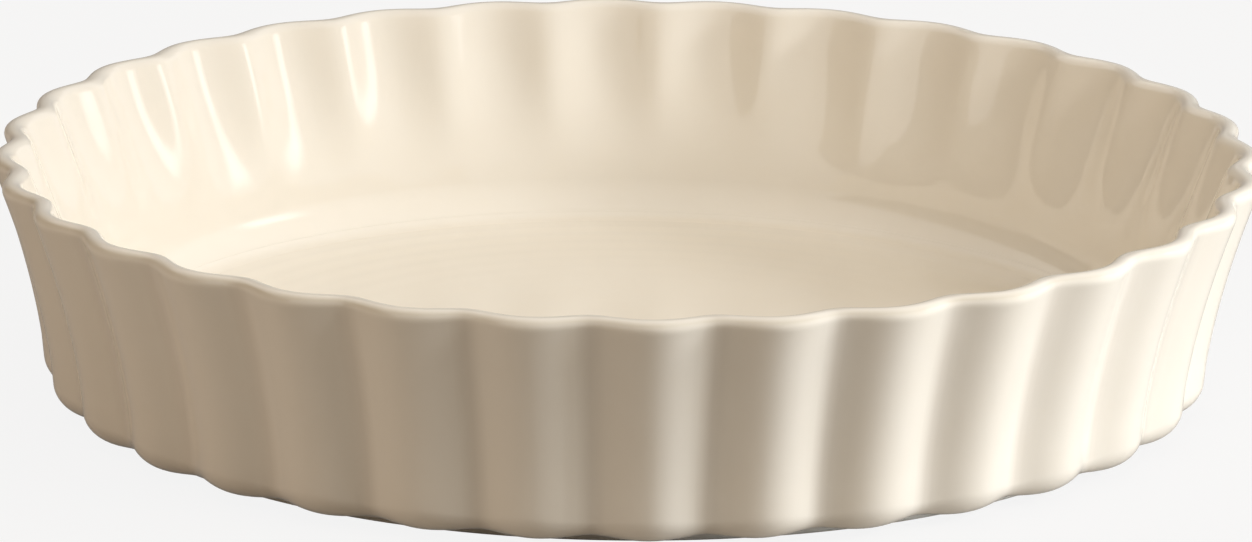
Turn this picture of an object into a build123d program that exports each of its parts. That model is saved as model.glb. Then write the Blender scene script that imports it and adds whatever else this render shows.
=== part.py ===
from build123d import *
from math import cos, pi, sin, sqrt
import os

os.makedirs("parts", exist_ok=True)

# A deep round baking dish of glazed stoneware, with 32 flutes round its wall.
# The origin is at the centre of the base, +Z is up, and one crest faces -Y.
# All sizes are in millimetres.

# Overall sizes
rim_diameter = 280.0
height = 54.5

# Flutes on the outside of the wall
flute_count = 32
rim_flute_depth = 3.6
base_flute_depth = 3.4
valley_sharpness_share = 0.1
points_per_flute = 4

# Outside of the wall, which is steep at the base and flares to the rim
base_diameter = 256.0
flare_power = 1.65
crest_corner_height = 9.2
valley_corner_height = 4.6
corner_undercut = 0.4

# Inside of the wall
rim_thickness = 5.0
base_thickness = 6.5
rim_round = 2.3
rim_break = 0.3
cove_radius = 9.0
cove_break = 0.3
plain_band_height = 1.1

# Floor, foot ring and recess under the base
foot_diameter = 233.8
foot_height = 1.7
foot_width = 7.0
foot_bevel = 0.6
recess_depth = 2.4
floor_thickness = 5.0

# Bands of each stretch of wall, by where they start in it, closest together where it turns most
corner_shares = (0, 0.12, 0.35, 0.65)
outer_wall_shares = (0, 0.55)
cove_shares = (0, 0.05, 0.2, 0.5)
inner_wall_shares = (0, 0.25, 0.45, 0.62, 0.8)
rim_shares = (0, 0.55, 1)

# Glaze that stands as a layer of its own
pooled_glaze_depth = 0.8
base_glaze_thickness = 0.5

# Places that follow from the sizes above
floor_level = recess_depth + floor_thickness
cove_level = floor_level + cove_radius
fade_level = cove_level + plain_band_height
rim_level = height - rim_round
recess_radius = foot_diameter / 2 - foot_width


def crest_share(angle):
    """How far a point round the dish stands out: 0 in a valley and 1 on a crest."""
    turn = flute_count * angle
    wave = cos(turn) - valley_sharpness_share * cos(2 * turn)
    return (wave + 1 + valley_sharpness_share) / 2


def flute_depth(level):
    """Depth of the flutes at a height above the table."""
    return base_flute_depth + (rim_flute_depth - base_flute_depth) * level / rim_level


def valley_radius(level):
    """Radius of the outer wall in its valleys."""
    base = base_diameter / 2 - base_flute_depth
    rim = rim_diameter / 2 - rim_flute_depth
    return base + (rim - base) * (level / rim_level) ** flare_power


def rounding(distance, reach, spare):
    """Share of its radius that a rounding draws in, a distance into its reach."""
    depth_share = max(0, distance) / (reach + spare)
    return 1 - sqrt(1 - depth_share**2)


def outer_radius(level, crest):
    """Radius of the outer face, drawn in to the foot below and rounded over at the rim."""
    corner_height = valley_corner_height + (crest_corner_height - valley_corner_height) * crest
    wall = valley_radius(level) + flute_depth(level) * crest
    foot = foot_diameter / 2
    corner = (wall - foot) * rounding(foot_height + corner_height - level, corner_height, corner_undercut)
    return wall - corner - rim_round * rounding(level - rim_level, rim_round, rim_break)


def inner_radius(level, crest):
    """Radius of the inner face, where the flutes fade out above the cove round the floor."""
    thickness = base_thickness + (rim_thickness - base_thickness) * level / rim_level
    rise_share = max(0, level - fade_level) / (height - fade_level)
    fade_share = rise_share**2 * (3 - 2 * rise_share)
    wall = valley_radius(level) - thickness + flute_depth(level) * crest * fade_share
    cove = cove_radius * rounding(cove_level - level, cove_radius, cove_break)
    return wall - cove + rim_round * rounding(level - rim_level, rim_round, rim_break)


def outline(radius, level):
    """Points of the fluted outline at one height."""
    steps = flute_count * points_per_flute
    angles = [2 * pi * step / steps for step in range(steps)]
    radii = [radius(level, crest_share(angle)) for angle in angles]
    return [(r * cos(angle), r * sin(angle)) for r, angle in zip(radii, angles)]


def sections(radius, levels):
    """Faces to loft through, which are round where the flutes have faded out."""
    faces = []
    for level in levels:
        with BuildSketch(Plane.XY.offset(level)) as section:
            if radius(level, 1) > radius(level, 0):
                with BuildLine():
                    Spline(*outline(radius, level), periodic=True)
                make_face()
            else:
                Circle(radius(level, 0))
        faces.append(section.sketch.face())
    return faces


def spread(low, high, shares):
    """Heights from low to high, at shares of the way between them."""
    return [low + (high - low) * share for share in shares]


# Heights of the bands that the faces are made in
corner_level = foot_height + crest_corner_height
rim_levels = spread(rim_level, height, rim_shares)
outer_levels = spread(foot_height, corner_level, corner_shares)
outer_levels += spread(corner_level, rim_level, outer_wall_shares)
cove_levels = spread(floor_level, cove_level, cove_shares)
inner_levels = cove_levels + spread(cove_level, rim_level, inner_wall_shares)

# The clay casting: fluted wall, rim, floor and foot ring
with BuildPart() as fluted_body:
    loft(sections(outer_radius, outer_levels + rim_levels), ruled=True)
    loft(sections(inner_radius, inner_levels + rim_levels), ruled=True, mode=Mode.SUBTRACT)
    with BuildSketch():
        Circle(foot_diameter / 2)
    extrude(amount=foot_height)
    with BuildSketch():
        Circle(recess_radius)
    extrude(amount=recess_depth, mode=Mode.SUBTRACT)
    chamfer(fluted_body.faces().sort_by(Axis.Z)[0].edges(), foot_bevel)
fluted_body.part.label = "fluted_body"
export_step(fluted_body.part, "parts/fluted_body.step")

# Glaze that ran down the wall and pooled over the floor, up to where its level meets the cove
with BuildPart() as floor_glaze:
    loft(sections(inner_radius, cove_levels), ruled=True)
    split(bisect_by=Plane.XY.offset(floor_level + pooled_glaze_depth), keep=Keep.BOTTOM)
floor_glaze.part.label = "floor_glaze"
export_step(floor_glaze.part, "parts/floor_glaze.step")

# Film of glaze on the underside, inside the foot ring
with BuildPart() as underside_glaze:
    with BuildSketch(Plane.XY.offset(recess_depth - base_glaze_thickness)):
        Circle(recess_radius)
    extrude(amount=base_glaze_thickness)
underside_glaze.part.label = "underside_glaze"
export_step(underside_glaze.part, "parts/underside_glaze.step")
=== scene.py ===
# %% [markdown]
# # A fluted quiche dish in ivory glaze
# A deep round baking dish of stoneware, cast in one piece and covered in glossy glaze.
# Its wall is folded into 32 flutes that run from the rim down to a plain round foot.
# The frame holds its clay body, the glaze pooled over its floor and the film under its base.
# This lesson dresses those three solids, one piece at a time.

# %% Load the frame
from math import atan2, cos, hypot, radians, sin, sqrt, tau
import bpy
import bmesh
from mathutils import Matrix, Vector


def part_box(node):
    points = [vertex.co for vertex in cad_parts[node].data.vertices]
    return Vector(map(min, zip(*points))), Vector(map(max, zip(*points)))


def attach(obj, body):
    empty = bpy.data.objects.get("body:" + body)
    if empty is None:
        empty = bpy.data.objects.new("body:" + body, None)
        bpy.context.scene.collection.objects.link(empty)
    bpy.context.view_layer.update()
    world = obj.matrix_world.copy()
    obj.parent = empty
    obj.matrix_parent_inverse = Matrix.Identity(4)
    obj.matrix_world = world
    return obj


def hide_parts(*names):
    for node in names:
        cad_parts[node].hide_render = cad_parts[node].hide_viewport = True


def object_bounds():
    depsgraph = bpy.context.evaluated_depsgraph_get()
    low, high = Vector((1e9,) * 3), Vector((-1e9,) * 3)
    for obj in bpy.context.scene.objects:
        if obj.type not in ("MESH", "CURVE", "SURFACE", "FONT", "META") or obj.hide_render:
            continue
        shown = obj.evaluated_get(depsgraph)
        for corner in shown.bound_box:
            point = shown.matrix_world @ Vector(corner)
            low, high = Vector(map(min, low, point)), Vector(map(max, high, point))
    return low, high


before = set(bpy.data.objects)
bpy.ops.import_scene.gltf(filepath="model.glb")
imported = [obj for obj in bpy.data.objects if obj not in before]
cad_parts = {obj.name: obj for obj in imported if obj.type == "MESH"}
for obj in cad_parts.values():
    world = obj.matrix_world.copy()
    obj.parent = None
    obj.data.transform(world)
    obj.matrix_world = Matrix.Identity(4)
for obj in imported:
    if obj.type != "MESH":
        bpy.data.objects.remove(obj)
cad_low, cad_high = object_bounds()
mm = 0.001
scene = bpy.context.scene
print("Solids:", sorted(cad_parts))
print("CAD box in mm:", [round(size / mm, 1) for size in cad_high - cad_low])

# %% [markdown]
# ## The photographer's camera
# A product shot of a low dish is taken from far away with a long lens, so that the near and
# the far rim keep almost the same width. The camera stands a little above the table and a
# little to the left of the front flute. It looks at a point below the rim, and it leans by
# half a degree, which lowers the right side of the picture. The focal length and the place
# of the rim's centre in the picture are in pixels, and the distance is in metres.

# %% Camera
image_width = 1252
focal_pixels = 11540
sensor_width = 36
camera_distance = 2.544
camera_azimuth = radians(-13.72)
camera_elevation = radians(14.85)
camera_roll = 0.0095
rim_centre_right = 0.34
rim_centre_above = 119.6
sight_limit = 50

rim_centre = Vector((0, 0, cad_high.z))
toward_camera = Vector((
    sin(camera_azimuth) * cos(camera_elevation),
    -cos(camera_azimuth) * cos(camera_elevation),
    sin(camera_elevation),
))
across = Vector((cos(camera_azimuth), sin(camera_azimuth), 0))
upward = toward_camera.cross(across)
aim = -toward_camera * focal_pixels - across * rim_centre_right - upward * rim_centre_above

camera_data = bpy.data.cameras.new("photographer")
camera_data.sensor_width = sensor_width
camera_data.lens = focal_pixels / image_width * sensor_width
camera_data.clip_end = sight_limit
camera = bpy.data.objects.new("photographer", camera_data)
camera.location = rim_centre + toward_camera * camera_distance
camera.rotation_mode = "QUATERNION"
lean = Matrix.Rotation(camera_roll, 4, "Z").to_quaternion()
camera.rotation_quaternion = aim.to_track_quat("-Z", "Y") @ lean
scene.collection.objects.link(camera)
scene.camera = camera
print("Lens:", round(camera_data.lens), "mm")

# %% [markdown]
# ## Sizes of the moulding
# The mould maker gives the outside and the inside of the wall by two curves: one through
# the crest of a flute and one through the valley beside it. These are the sizes they need.
# The overall ones come from the frame, so the dish cannot outgrow it. Outside, the flutes
# run down to rounded ends over the foot, and a valley ends a little higher than a crest.
# Inside, they start to show above the cove and are at full depth a little below the rim.

# %% Sizes
rim_allowance = 0.2 * mm
rim_drop = 2.3 * mm
body_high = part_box("fluted_body")[1]
height = body_high.z
rim_radius = body_high.x - rim_allowance
rim_level = height - rim_drop

flute_count = 32
rim_flute_depth = 3.3 * mm
base_flute_depth = 3.4 * mm
base_radius = 128 * mm
flare_power = 1.65

foot_radius = 116.9 * mm
foot_height = 1.7 * mm
foot_width = 7 * mm
foot_round = 0.6 * mm
foot_top_round = 0.4 * mm
recess_depth = 2.4 * mm
recess_round = 0.5 * mm

rim_thickness = 5 * mm
base_thickness = 6.5 * mm
crest_rim_round = 3.1 * mm
valley_rim_round = 2.5 * mm
inner_rim_round = 1.7 * mm
floor_level = 7.4 * mm
cove_radius = 9 * mm
fade_level = 17.5 * mm
hollow_level = 46 * mm
crest_corner = 9.2 * mm
valley_corner = 4.6 * mm
lobe_rounding = 0.7
valley_lift = 1.7 * mm


def between(first, last, share):
    """The value at a share of the way from the first to the last."""
    return first + (last - first) * share


def flute_depth(level):
    return between(base_flute_depth, rim_flute_depth, level / rim_level)


def outer_radius(level, crest):
    """Radius of the outer wall at a height, through a valley (0) or a crest (1)."""
    base = base_radius - base_flute_depth
    rim = rim_radius - rim_flute_depth
    valley = between(base, rim, (level / rim_level) ** flare_power)
    return valley + flute_depth(level) * crest


def inner_radius(level, crest):
    """Radius of the inner wall, which is round where its flutes have faded out."""
    rise = min(1, max(0, level - fade_level) / (hollow_level - fade_level))
    fade = rise**2 * (3 - 2 * rise)
    thickness = between(base_thickness, rim_thickness, level / rim_level)
    return outer_radius(level, 0) - thickness + flute_depth(level) * crest * fade


print("Rim in mm:", round(2 * rim_radius / mm, 1), "height:", round(height / mm, 1))

# %% [markdown]
# ## One section through the dish
# A dish is round, so its section is drawn once and spun about the axis. The section starts
# as a chain of corners: foot, flute, rim, inner wall, cove and floor. A bevel on a corner's
# vertex turns it into an arc. The same steps on a crest's corners and on a valley's corners
# give two chains that match vertex by vertex, which the flutes need in the next step.
# Straight stretches have rows of their own, which stop just short of the arcs beside them.

# %% Section
wall_rows = 18
disc_rings = 4
small_arc = 3
foot_arc = 4
rim_arc = 8
cove_arc = 12
lobe_arc = 14
first_ring = 0.2
recess_ring = 0.8
floor_ring = 0.85
lobe_clearance = 1.25
rim_clearance = 1.05
cove_clearance = 1.35


def spread(first, last, count):
    return [between(first, last, step / (count - 1)) for step in range(count)]


def flat(level, first, last, count):
    """Plain corners along a flat stretch, from one radius to another."""
    return [(radius, level, 0, 0) for radius in spread(first, last, count)]


def wall(radius_at, crest, first, last):
    """Plain corners along a wall, from one height to another."""
    return [(radius_at(level, crest), level, 0, 0) for level in spread(first, last, wall_rows)]


def wire(chain):
    """A mesh that holds a chain of corners, given as radius, height, rounding and arc steps."""
    bm = bmesh.new()
    verts = [bm.verts.new((radius, 0, level)) for radius, level, _, _ in chain]
    for first, second in zip(verts, verts[1:]):
        bm.edges.new((first, second))
    for vert, (_, _, rounding, steps) in zip(verts, chain):
        if rounding:
            bmesh.ops.bevel(
                bm, geom=[vert], offset=rounding, segments=steps,
                profile=0.5, affect="VERTICES", material=-1,
            )
    return bm


def ordered(bm):
    """The vertices of a chain, from its lower end to its upper end."""
    bm.verts.ensure_lookup_table()
    ends = [vert for vert in bm.verts if len(vert.link_edges) == 1]
    vert, edge = min(ends, key=lambda end: end.co.z), None
    found = [vert]
    while len(found) < len(bm.verts):
        edge = next(link for link in vert.link_edges if link is not edge)
        vert = edge.other_vert(vert)
        found.append(vert)
    return found


def section(crest):
    """The section of the casting through a crest (1) or a valley (0)."""
    recess_radius = foot_radius - foot_width
    rings = (first_ring * recess_radius, recess_ring * recess_radius, disc_rings)
    chain = [(0, recess_depth, 0, 0)] + flat(recess_depth, *rings)
    chain += [(recess_radius, recess_depth, recess_round, small_arc)]
    chain += [(recess_radius, 0, foot_round, foot_arc), (foot_radius, 0, foot_round, foot_arc)]
    chain += [(foot_radius, foot_height, foot_top_round, small_arc)]

    corner = between(valley_corner, crest_corner, crest)
    lobe_end = foot_height + valley_lift * (1 - crest)
    chain += [(outer_radius(lobe_end, crest), lobe_end, lobe_rounding * corner, lobe_arc)]
    bottom = foot_height + lobe_clearance * crest_corner
    top = height - rim_clearance * crest_rim_round
    chain += wall(outer_radius, crest, bottom, top)

    rim_round = between(valley_rim_round, crest_rim_round, crest)
    chain += [(outer_radius(height, crest), height, rim_round, rim_arc)]
    chain += [(inner_radius(height, crest), height, inner_rim_round, rim_arc)]
    chain += wall(inner_radius, crest, top, floor_level + cove_clearance * cove_radius)

    floor_edge = inner_radius(floor_level, 0)
    chain += [(floor_edge, floor_level, cove_radius, cove_arc)]
    chain += flat(floor_level, floor_ring * floor_edge, first_ring * floor_edge, disc_rings)
    return wire(chain + [(0, floor_level, 0, 0)])


crest_section, valley_section = section(1), section(0)
layers = crest_section.verts.layers.float
outward, climb, outside = layers.new("outward"), layers.new("climb"), layers.new("outside")
crease, lip = layers.new("crease"), layers.new("lip")
crest_chain, valley_chain = ordered(crest_section), ordered(valley_section)
print("Points in a section:", len(crest_chain), len(valley_chain))

# %% [markdown]
# ## The fluted casting
# Each vertex of the crest's section carries the way from there to the same vertex of the
# valley's section, in two layers that the spin copies all round. After the spin, a wave
# says how far each vertex is from its crest, and the vertex goes that share of its way.
# A flute is a broad rounded crest between two narrow valleys. The valleys are soft at the
# rim and narrow to a crease lower down, where the mould's ribs are sharp. Fired clay is
# never quite round, so the wall leans and wavers by a tenth of a millimetre or so. Two more
# layers mark the creases, for pooled glaze and painted shade, and the lip for the glaze.

# %% Flutes
steps_per_flute = 16
merge_distance = 0.005 * mm
rim_softness = 0.5
base_softness = 0.42
lean_depth = 0.09 * mm
ripple_depth = 0.05 * mm
crease_reach = 0.25
lip_level = height - 0.8 * mm
lip_reach = 0.9 * mm


def crest_share(angle, level):
    """How far a point stands out: 1 on a crest, 0 in a valley."""
    rise = min(1, max(0, level / height))
    softness = between(base_softness, rim_softness, rise**2)
    wave = cos(flute_count / 2 * angle) ** 2
    return (sqrt(wave + softness**2) - softness) / (sqrt(1 + softness**2) - softness)


def hand_made(angle, level):
    """How far the wall stands in from its true circle, as a fired dish does, in metres."""
    lean = 1 + 0.6 * sin(2 * angle + 0.7) + 0.4 * sin(3 * angle + 2.1)
    ripple = 1 + sin(9 * angle + 1.3) * sin(13 * angle + 0.4)
    return (lean_depth * lean + ripple_depth * ripple) * level / height


def spin(bm):
    """Turns a section through one flute, repeats that wedge all round and closes it."""
    pitch = tau / flute_count
    bmesh.ops.spin(
        bm, geom=bm.verts[:] + bm.edges[:], cent=(0, 0, 0), axis=(0, 0, 1),
        angle=pitch, steps=steps_per_flute,
    )
    bmesh.ops.spin(
        bm, geom=bm.verts[:] + bm.edges[:] + bm.faces[:], cent=(0, 0, 0), axis=(0, 0, 1),
        angle=tau - pitch, steps=flute_count - 1, use_duplicate=True,
    )
    bmesh.ops.remove_doubles(bm, verts=bm.verts, dist=merge_distance)
    bmesh.ops.recalc_face_normals(bm, faces=bm.faces)


def piece_from(bm, name):
    """Makes an object of a finished mesh, shaded smooth."""
    mesh = bpy.data.meshes.new(name)
    bm.to_mesh(mesh)
    bm.free()
    mesh.shade_smooth()
    piece = bpy.data.objects.new(name, mesh)
    scene.collection.objects.link(piece)
    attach(piece, "root")
    return piece


top = max(range(len(crest_chain)), key=lambda place: crest_chain[place].co.z)
for place, (vert, twin) in enumerate(zip(crest_chain, valley_chain)):
    vert[outward] = twin.co.x - vert.co.x
    vert[climb] = twin.co.z - vert.co.z
    vert[outside] = 1 if place <= top else 0
spin(crest_section)

for vert in crest_section.verts:
    angle, radius = atan2(vert.co.y, vert.co.x), hypot(vert.co.x, vert.co.y)
    share = crest_share(angle, vert.co.z)
    moved = radius + vert[outward] * (1 - share)
    if radius > foot_radius:
        moved -= hand_made(angle, vert.co.z)
    # The crease layer marks each outer valley, for pooled glaze and painted shade in the
    # finish.
    vert[crease] = vert[outside] * max(0, 1 - share / crease_reach) ** 2
    vert[lip] = vert[outside] * max(0, 1 - abs(vert.co.z - lip_level) / lip_reach)
    if radius > 0:
        vert.co.x *= moved / radius
        vert.co.y *= moved / radius
    vert.co.z += vert[climb] * (1 - share)

casting = piece_from(crest_section, "fluted_casting")
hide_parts("fluted_body")
print("Casting:", len(casting.data.vertices), "vertices")

# %% [markdown]
# ## The pool of glaze on the floor
# Glaze melts in the kiln, runs off the wall and gathers over the floor. It ends in the cove
# in a smooth hollow curve, and near there it sets in faint rings. The pool is a closed disc:
# its section runs along the top, round the feather edge and back under it, a hair below the
# floor of the casting, so that the two never share a face.

# %% Floor glaze
pool_depth = 0.8 * mm
pool_rings = 60
pool_arc = 8
pool_clearance = 1.1
pool_rounding = 0.95
pool_sink = 0.1 * mm
edge_angle = radians(42)
edge_depth = 1.6 * mm
edge_return = 0.7
ring_start_share = 0.55
ring_height = 0.035 * mm
ring_turns = 0.9 / mm

cove_centre = inner_radius(floor_level, 0) - cove_radius
pool_level = floor_level + pool_depth
edge_radius = cove_centre + cove_radius * sin(edge_angle)
edge_level = floor_level + cove_radius * (1 - cos(edge_angle))
bend_reach = (edge_level - pool_level) / sin(edge_angle)
bend_radius = edge_radius - bend_reach * cos(edge_angle)

pool_chain = flat(pool_level, 0, bend_radius - pool_clearance * bend_reach, pool_rings)
pool_chain += [(bend_radius, pool_level, pool_rounding * bend_reach, pool_arc)]
pool_chain += [(edge_radius, edge_level, 0, 0)]
pool_chain += [(cove_centre + edge_return * cove_radius, edge_level - edge_depth, 0, 0)]
pool_chain += flat(floor_level - pool_sink, cove_centre, 0, 2)
pool = wire(pool_chain)
spin(pool)

ring_start = ring_start_share * cove_centre
for vert in pool.verts:
    radius = hypot(vert.co.x, vert.co.y)
    if vert.co.z > floor_level + 0.5 * pool_depth and radius < cove_centre:
        fade = max(0, (radius - ring_start) / (cove_centre - ring_start))
        vert.co.z += ring_height * fade * sin(radius * ring_turns)

floor_glaze = piece_from(pool, "pooled_floor_glaze")
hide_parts("floor_glaze")
print("Pool edge in mm:", round(edge_radius / mm, 1), "up", round(edge_level / mm, 1))

# %% [markdown]
# ## The film under the base
# The underside is glazed too, apart from the foot ring that stood on the kiln shelf. The
# film is a thin disc in the recess, and its edge is rounded where it stops short of the ring.

# %% Underside glaze
film_rings = 12
film_ring = 0.97
film_gap = 0.05 * mm
film_round = 0.35 * mm
film_arc = 4

film_low, film_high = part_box("underside_glaze")
film_edge = film_high.x - film_gap
film_chain = flat(film_low.z, 0, film_ring * film_high.x, film_rings)
film_chain += [(film_edge, film_low.z, film_round, film_arc)]
film_chain += flat(film_high.z, film_edge, 0, 2)
film = wire(film_chain)
spin(film)

base_glaze = piece_from(film, "base_glaze_film")
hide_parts("underside_glaze")
print("Film in mm:", round((film_high.z - film_low.z) / mm, 2))

# %% [markdown]
# ## Writing a finish
# A finish is a network of nodes, and most of it is sums. This class wraps the output of a
# node, so that a sum on wraps adds the Math nodes. Its one method adds any other node.

# %% Shader maths


class Wire:
    """The output of a node in a material, which sums and other nodes can use."""

    def __init__(self, tree, socket=None):
        self.tree = tree
        self.socket = socket

    def node(self, kind, settings=None, values=None, output=0):
        """Adds a node: its settings first, then the values or links of its sockets."""
        node = self.tree.nodes.new(kind)
        for name, setting in (settings or {}).items():
            setattr(node, name, setting)
        for name, value in (values or {}).items():
            if isinstance(value, Wire):
                self.tree.links.new(value.socket, node.inputs[name])
            else:
                node.inputs[name].default_value = value
        return Wire(self.tree, node.outputs[output] if node.outputs else None)

    def maths(self, operation, first, second):
        return self.node("ShaderNodeMath", {"operation": operation}, {0: first, 1: second})

    def __add__(self, other):
        return self.maths("ADD", self, other)

    __radd__ = __add__

    def __sub__(self, other):
        return self.maths("SUBTRACT", self, other)

    def __rsub__(self, other):
        return self.maths("SUBTRACT", other, self)

    def __mul__(self, other):
        return self.maths("MULTIPLY", self, other)

    __rmul__ = __mul__

    def ramp(self, low, high):
        """0 where the wire is at low and 1 where it is at high, with no step between."""
        values = {"Value": self, "From Min": low, "From Max": high}
        return self.node("ShaderNodeMapRange", {"interpolation_type": "SMOOTHSTEP"}, values)

    def edge(self, reach, soft):
        """1 where the wire is within reach of 0, falling softly to 0 at that reach."""
        return self.ramp(-reach, soft - reach) * (1 - self.ramp(reach - soft, reach))

    def tint(self, first, second):
        """The first colour where the wire is 0 and the second where it is 1."""
        colours = {0: self, 6: first, 7: second}
        return self.node("ShaderNodeMix", {"data_type": "RGBA"}, colours, output=2)


def new_finish(name):
    """An empty material and the wrap that its nodes start from."""
    material = bpy.data.materials.new(name)
    material.use_nodes = True
    material.node_tree.nodes.clear()
    return material, Wire(material.node_tree)


print("Wraps ready")

# %% [markdown]
# ## Ivory glaze
# The glaze is a cream glass, fired glossy. Its colour drifts a little where it lies thicker
# or thinner, it goes yellower and greyer in the valleys of the flutes, partly where it gathers
# there and partly as painted shade, and pale where it runs thin over the rim. Its skin is never
# flat: a long soft ripple and a fine orange peel bend the reflections. Here and there a pinhole
# breaks it. The ring that stood on the kiln shelf is bare clay, so the same finish turns matt
# at the very bottom. Patterns are on object coordinates, so a noise's scale is in waves to the
# metre.

# %% Glaze
ivory = (0.87, 0.815, 0.715, 1)
thick_ivory = (0.85, 0.78, 0.66, 1)
thin_ivory = (0.90, 0.86, 0.78, 1)
# The creases' tint: glaze pooled there and painted shade.
crease_pool_and_painted_shade = (0.50, 0.42, 0.33, 1)
lip_tan = (0.55, 0.47, 0.33, 1)
pinhole_shade = (0.42, 0.34, 0.25, 1)
bare_clay = (0.62, 0.50, 0.37, 1)

thin_reach = 1.8 * mm
pinhole_cells = 46.0
glaze_roughness = 0.05
coat_share = 0.15
relief_depth = 0.25 * mm
bare_reach = 0.25 * mm


def noise(place, scale, detail, roughness):
    values = {"Vector": place, "Scale": scale, "Detail": detail, "Roughness": roughness}
    return place.node("ShaderNodeTexNoise", {}, values)


def glaze_finish(name, bare_below=None, creased=False):
    """The glaze, bare under a height, with pooled glaze and painted shade in creases if asked.
    """
    material, start = new_finish(name)
    place = start.node("ShaderNodeTexCoord", output=3)
    drift = noise(place, scale=16.0, detail=3.0, roughness=0.55)
    mottle = noise(place, scale=130.0, detail=2.0, roughness=0.5)
    thickness = drift.ramp(0.3, 0.7) * 0.7 + mottle.ramp(0.35, 0.65) * 0.3
    colour = (thickness * 0.35).tint(ivory, thick_ivory)
    level = start.node("ShaderNodeSeparateXYZ", {}, {0: place}, output=2)
    thin = level.ramp(height - thin_reach, height)
    colour = (thin * 0.6).tint(colour, thin_ivory)

    cells = {"Vector": place, "Scale": pinhole_cells}
    speck = start.node("ShaderNodeTexVoronoi", {}, cells, output=0)
    chance = start.node("ShaderNodeTexVoronoi", {}, cells, output=1)
    rarity = start.node("ShaderNodeSeparateXYZ", {}, {0: chance}, output=0)
    pinhole = (1 - speck.ramp(0.010, 0.018)) * rarity.ramp(0.93, 0.935)
    colour = (pinhole * 0.7).tint(colour, pinhole_shade)
    if creased:
        in_crease = start.node("ShaderNodeAttribute", {"attribute_name": "crease"}, output=2)
        on_lip = start.node("ShaderNodeAttribute", {"attribute_name": "lip"}, output=2)
        # Painted shade darkens the valley creases, along with the colour of glaze pooled there.
        colour = (in_crease * 0.18).tint(colour, crease_pool_and_painted_shade)
        colour = (on_lip * (0.25 + thickness * 0.25)).tint(colour, lip_tan)
    roughness = glaze_roughness + thickness * 0.03 + pinhole * 0.3
    coat = 1 - pinhole
    if bare_below:
        bare = 1 - level.ramp(0.6 * bare_below, bare_below)
        colour = bare.tint(colour, bare_clay)
        roughness = roughness + bare * 0.6
        coat = coat * (1 - bare)

    ripple = noise(place, scale=60.0, detail=1.0, roughness=0.4)
    peel = noise(place, scale=700.0, detail=1.0, roughness=0.5)
    relief = ripple * 0.8 + peel * 0.015 - pinhole * 0.6
    bump = start.node(
        "ShaderNodeBump", {}, {"Height": relief, "Strength": 0.35, "Distance": relief_depth}
    )
    shader = start.node("ShaderNodeBsdfPrincipled", {"distribution": "MULTI_GGX"}, {
        "Base Color": colour, "Roughness": roughness, "Normal": bump,
        "Coat Weight": coat * coat_share, "Coat Roughness": 0.03, "Coat IOR": 1.5, "IOR": 1.5,
    })
    start.node("ShaderNodeOutputMaterial", {}, {"Surface": shader})
    return material


casting.data.materials.append(glaze_finish("ivory_glaze", bare_below=bare_reach, creased=True))
floor_glaze.data.materials.append(glaze_finish("pooled_ivory_glaze"))
base_glaze.data.materials.append(glaze_finish("base_ivory_glaze"))
print("Finishes:", [piece.active_material.name for piece in (casting, floor_glaze, base_glaze)])

# %% [markdown]
# ## The table
# The dish stands on a plain pale sweep. To the camera it is nearly white, and it keeps a
# soft shadow: most of it is plain white and the rest is lit as paper is. The glaze mirrors
# only a little of that white, so that the underside of each rim and lobe stays calm.

# %% Table
table_size = 3.0
shadow_share = 0.12
mirrored_share = 0.12
paper_colour = (0.42, 0.385, 0.345, 1)
plain_white = (1, 1, 1, 1)

table_bm = bmesh.new()
bmesh.ops.create_grid(table_bm, x_segments=1, y_segments=1, size=table_size)
table_mesh = bpy.data.meshes.new("table")
table_bm.to_mesh(table_mesh)
table_bm.free()
table = bpy.data.objects.new("table", table_mesh)
scene.collection.objects.link(table)


def sighted(start):
    """The rays that see a backdrop: those of the camera, and those of a mirror or of glass."""
    camera_ray = start.node("ShaderNodeLightPath", output=0)
    glossy_ray = start.node("ShaderNodeLightPath", output=3)
    transmission_ray = start.node("ShaderNodeLightPath", output=6)
    return camera_ray, glossy_ray + transmission_ray


paper, start = new_finish("white_paper")
lit = start.node("ShaderNodeBsdfDiffuse", {}, {"Color": paper_colour})
white = start.node("ShaderNodeEmission", {}, {"Color": plain_white, "Strength": 1.0})
camera_ray, mirrored_ray = sighted(start)
seen = camera_ray * (1 - shadow_share) + mirrored_ray * mirrored_share
surface = start.node("ShaderNodeMixShader", {}, {0: seen, 1: lit, 2: white})
start.node("ShaderNodeOutputMaterial", {}, {"Surface": surface})
table_mesh.materials.append(paper)
print("Table in m:", 2 * table_size)

# %% [markdown]
# ## The light
# Two soft windows stand to the right of the dish. The one at its side grazes the front, so
# each flute shows a bright right side and a shaded left side, and the one further to the
# front opens the flutes that face the camera. A long low lamp stands for the light that the
# table throws back. The warm wall at the left, the ceiling and the wall behind are large
# weak lamps, which keep the shade warm and open.
#
# A lamp mirrored in gloss is a hard patch of clipped white, so the glaze doesn't mirror the
# lamps. It mirrors three cards that light nothing: a pane with soft edges at the right,
# which draws the bright streaks inside the wall, and dark flags at the left and behind,
# which keep the rims there from going pale. Bearings and elevations are in degrees, sizes
# and distances in metres, and powers in watts.

# %% Lights
day = (0.97, 1.0, 1.05)
soft_day = (1.0, 0.985, 0.96)
cool_day = (0.92, 1.0, 1.10)
plaster = (1.0, 0.92, 0.80)
warm_wall = (1.0, 0.82, 0.66)
card_colour = (1.0, 0.98, 1.0, 1)


def hang(thing, bearing, elevation, distance):
    """Puts a lamp or a card round the dish to face it, by its bearing to the camera's right."""
    turn, lift = camera_azimuth + radians(bearing), radians(elevation)
    way = Vector((sin(turn) * cos(lift), -cos(turn) * cos(lift), sin(lift)))
    thing.location = rim_centre + way * distance
    thing.rotation_mode = "QUATERNION"
    thing.rotation_quaternion = way.to_track_quat("Z", "Y")
    thing.visible_camera = False
    scene.collection.objects.link(thing)


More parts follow.
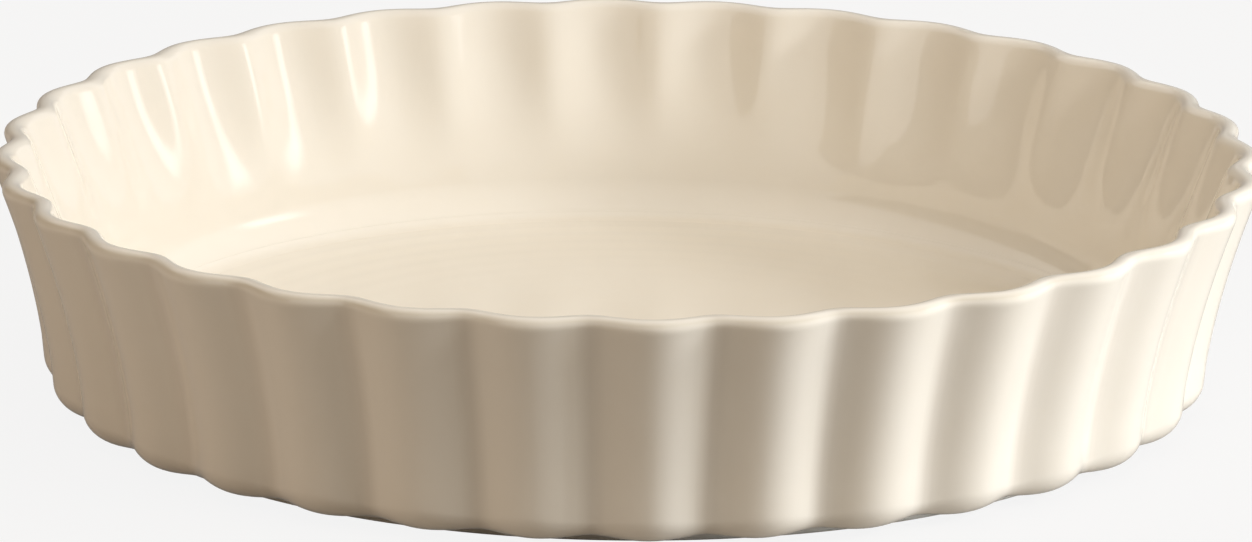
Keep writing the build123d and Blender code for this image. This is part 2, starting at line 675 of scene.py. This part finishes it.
def window(name, bearing, elevation, distance, width, tall, power, colour):
    """A soft rectangular lamp, which the glaze doesn't mirror."""
    light = bpy.data.lights.new(name, "AREA")
    light.shape = "RECTANGLE"
    light.size, light.size_y = width, tall
    light.energy = power
    light.color = colour
    lamp = bpy.data.objects.new(name, light)
    lamp.visible_glossy = False
    hang(lamp, bearing, elevation, distance)


def card(name, bearing, elevation, distance, width, tall, soft_share, glow):
    """A rectangle of an even glow with soft edges, which only the glaze mirrors."""
    bm = bmesh.new()
    stretch = Matrix.Diagonal((width, tall, 1, 1))
    bmesh.ops.create_grid(bm, x_segments=1, y_segments=1, size=0.5, matrix=stretch)
    mesh = bpy.data.meshes.new(name)
    bm.to_mesh(mesh)
    bm.free()

    material, start = new_finish(name)
    place = start.node("ShaderNodeTexCoord", output=3)
    shares = []
    for axis, size in enumerate((width, tall)):
        along = start.node("ShaderNodeSeparateXYZ", {}, {0: place}, output=axis)
        shares.append(along.edge(size / 2, soft_share * size))
    shine = start.node("ShaderNodeEmission", {}, {"Color": card_colour, "Strength": glow})
    clear = start.node("ShaderNodeBsdfTransparent")
    look = start.node("ShaderNodeMixShader", {}, {0: shares[0] * shares[1], 1: clear, 2: shine})
    start.node("ShaderNodeOutputMaterial", {}, {"Surface": look})
    mesh.materials.append(material)

    board = bpy.data.objects.new(name, mesh)
    board.visible_diffuse = board.visible_shadow = board.visible_transmission = False
    hang(board, bearing, elevation, distance)


window("side_window", 87, 24, 2.0, 0.5, 0.3, 18.5, day)
window("front_window", 60, 32, 2.2, 0.9, 0.4, 17, soft_day)
window("table_card", 86, -0.75, 2.0, 0.6, 0.05, 20, cool_day)
window("back_wall", 180, 30, 2.2, 1.6, 1.6, 7, plaster)
window("left_wall", -75, 12, 2.2, 1.6, 1.6, 17, warm_wall)
window("ceiling", 8, 72, 2.2, 2.2, 2.2, 22, plaster)
card("window_pane", 88, 20, 2.0, 0.75, 0.72, 0.4, 4.2)
card("left_flag", -98, 14, 1.9, 4.2, 1.7, 0.02, 0.04)
card("back_flag", 180, 18, 2.6, 3.6, 2.0, 0.02, 0.25)

# %% [markdown]
# ## The room
# The world stands for the rest of the room. It lends a little warm light to what the lamps
# leave in shade, and is plain white where the camera or the glaze sees it.

# %% Room
room_shade = (1.0, 0.84, 0.70, 1)
room_strength = 0.06

room = bpy.data.worlds.new("pale_room")
room.use_nodes = True
room.node_tree.nodes.clear()
start = Wire(room.node_tree)
shade = start.node("ShaderNodeBackground", {}, {"Color": room_shade, "Strength": room_strength})
white = start.node("ShaderNodeBackground", {}, {"Color": plain_white, "Strength": 1.0})
camera_ray, mirrored_ray = sighted(start)
sky = start.node("ShaderNodeMixShader", {}, {0: camera_ray + mirrored_ray, 1: shade, 2: white})
start.node("ShaderNodeOutputWorld", {}, {"Surface": sky})
scene.world = room
scene.view_settings.view_transform = "Standard"
print("View transform:", scene.view_settings.view_transform)
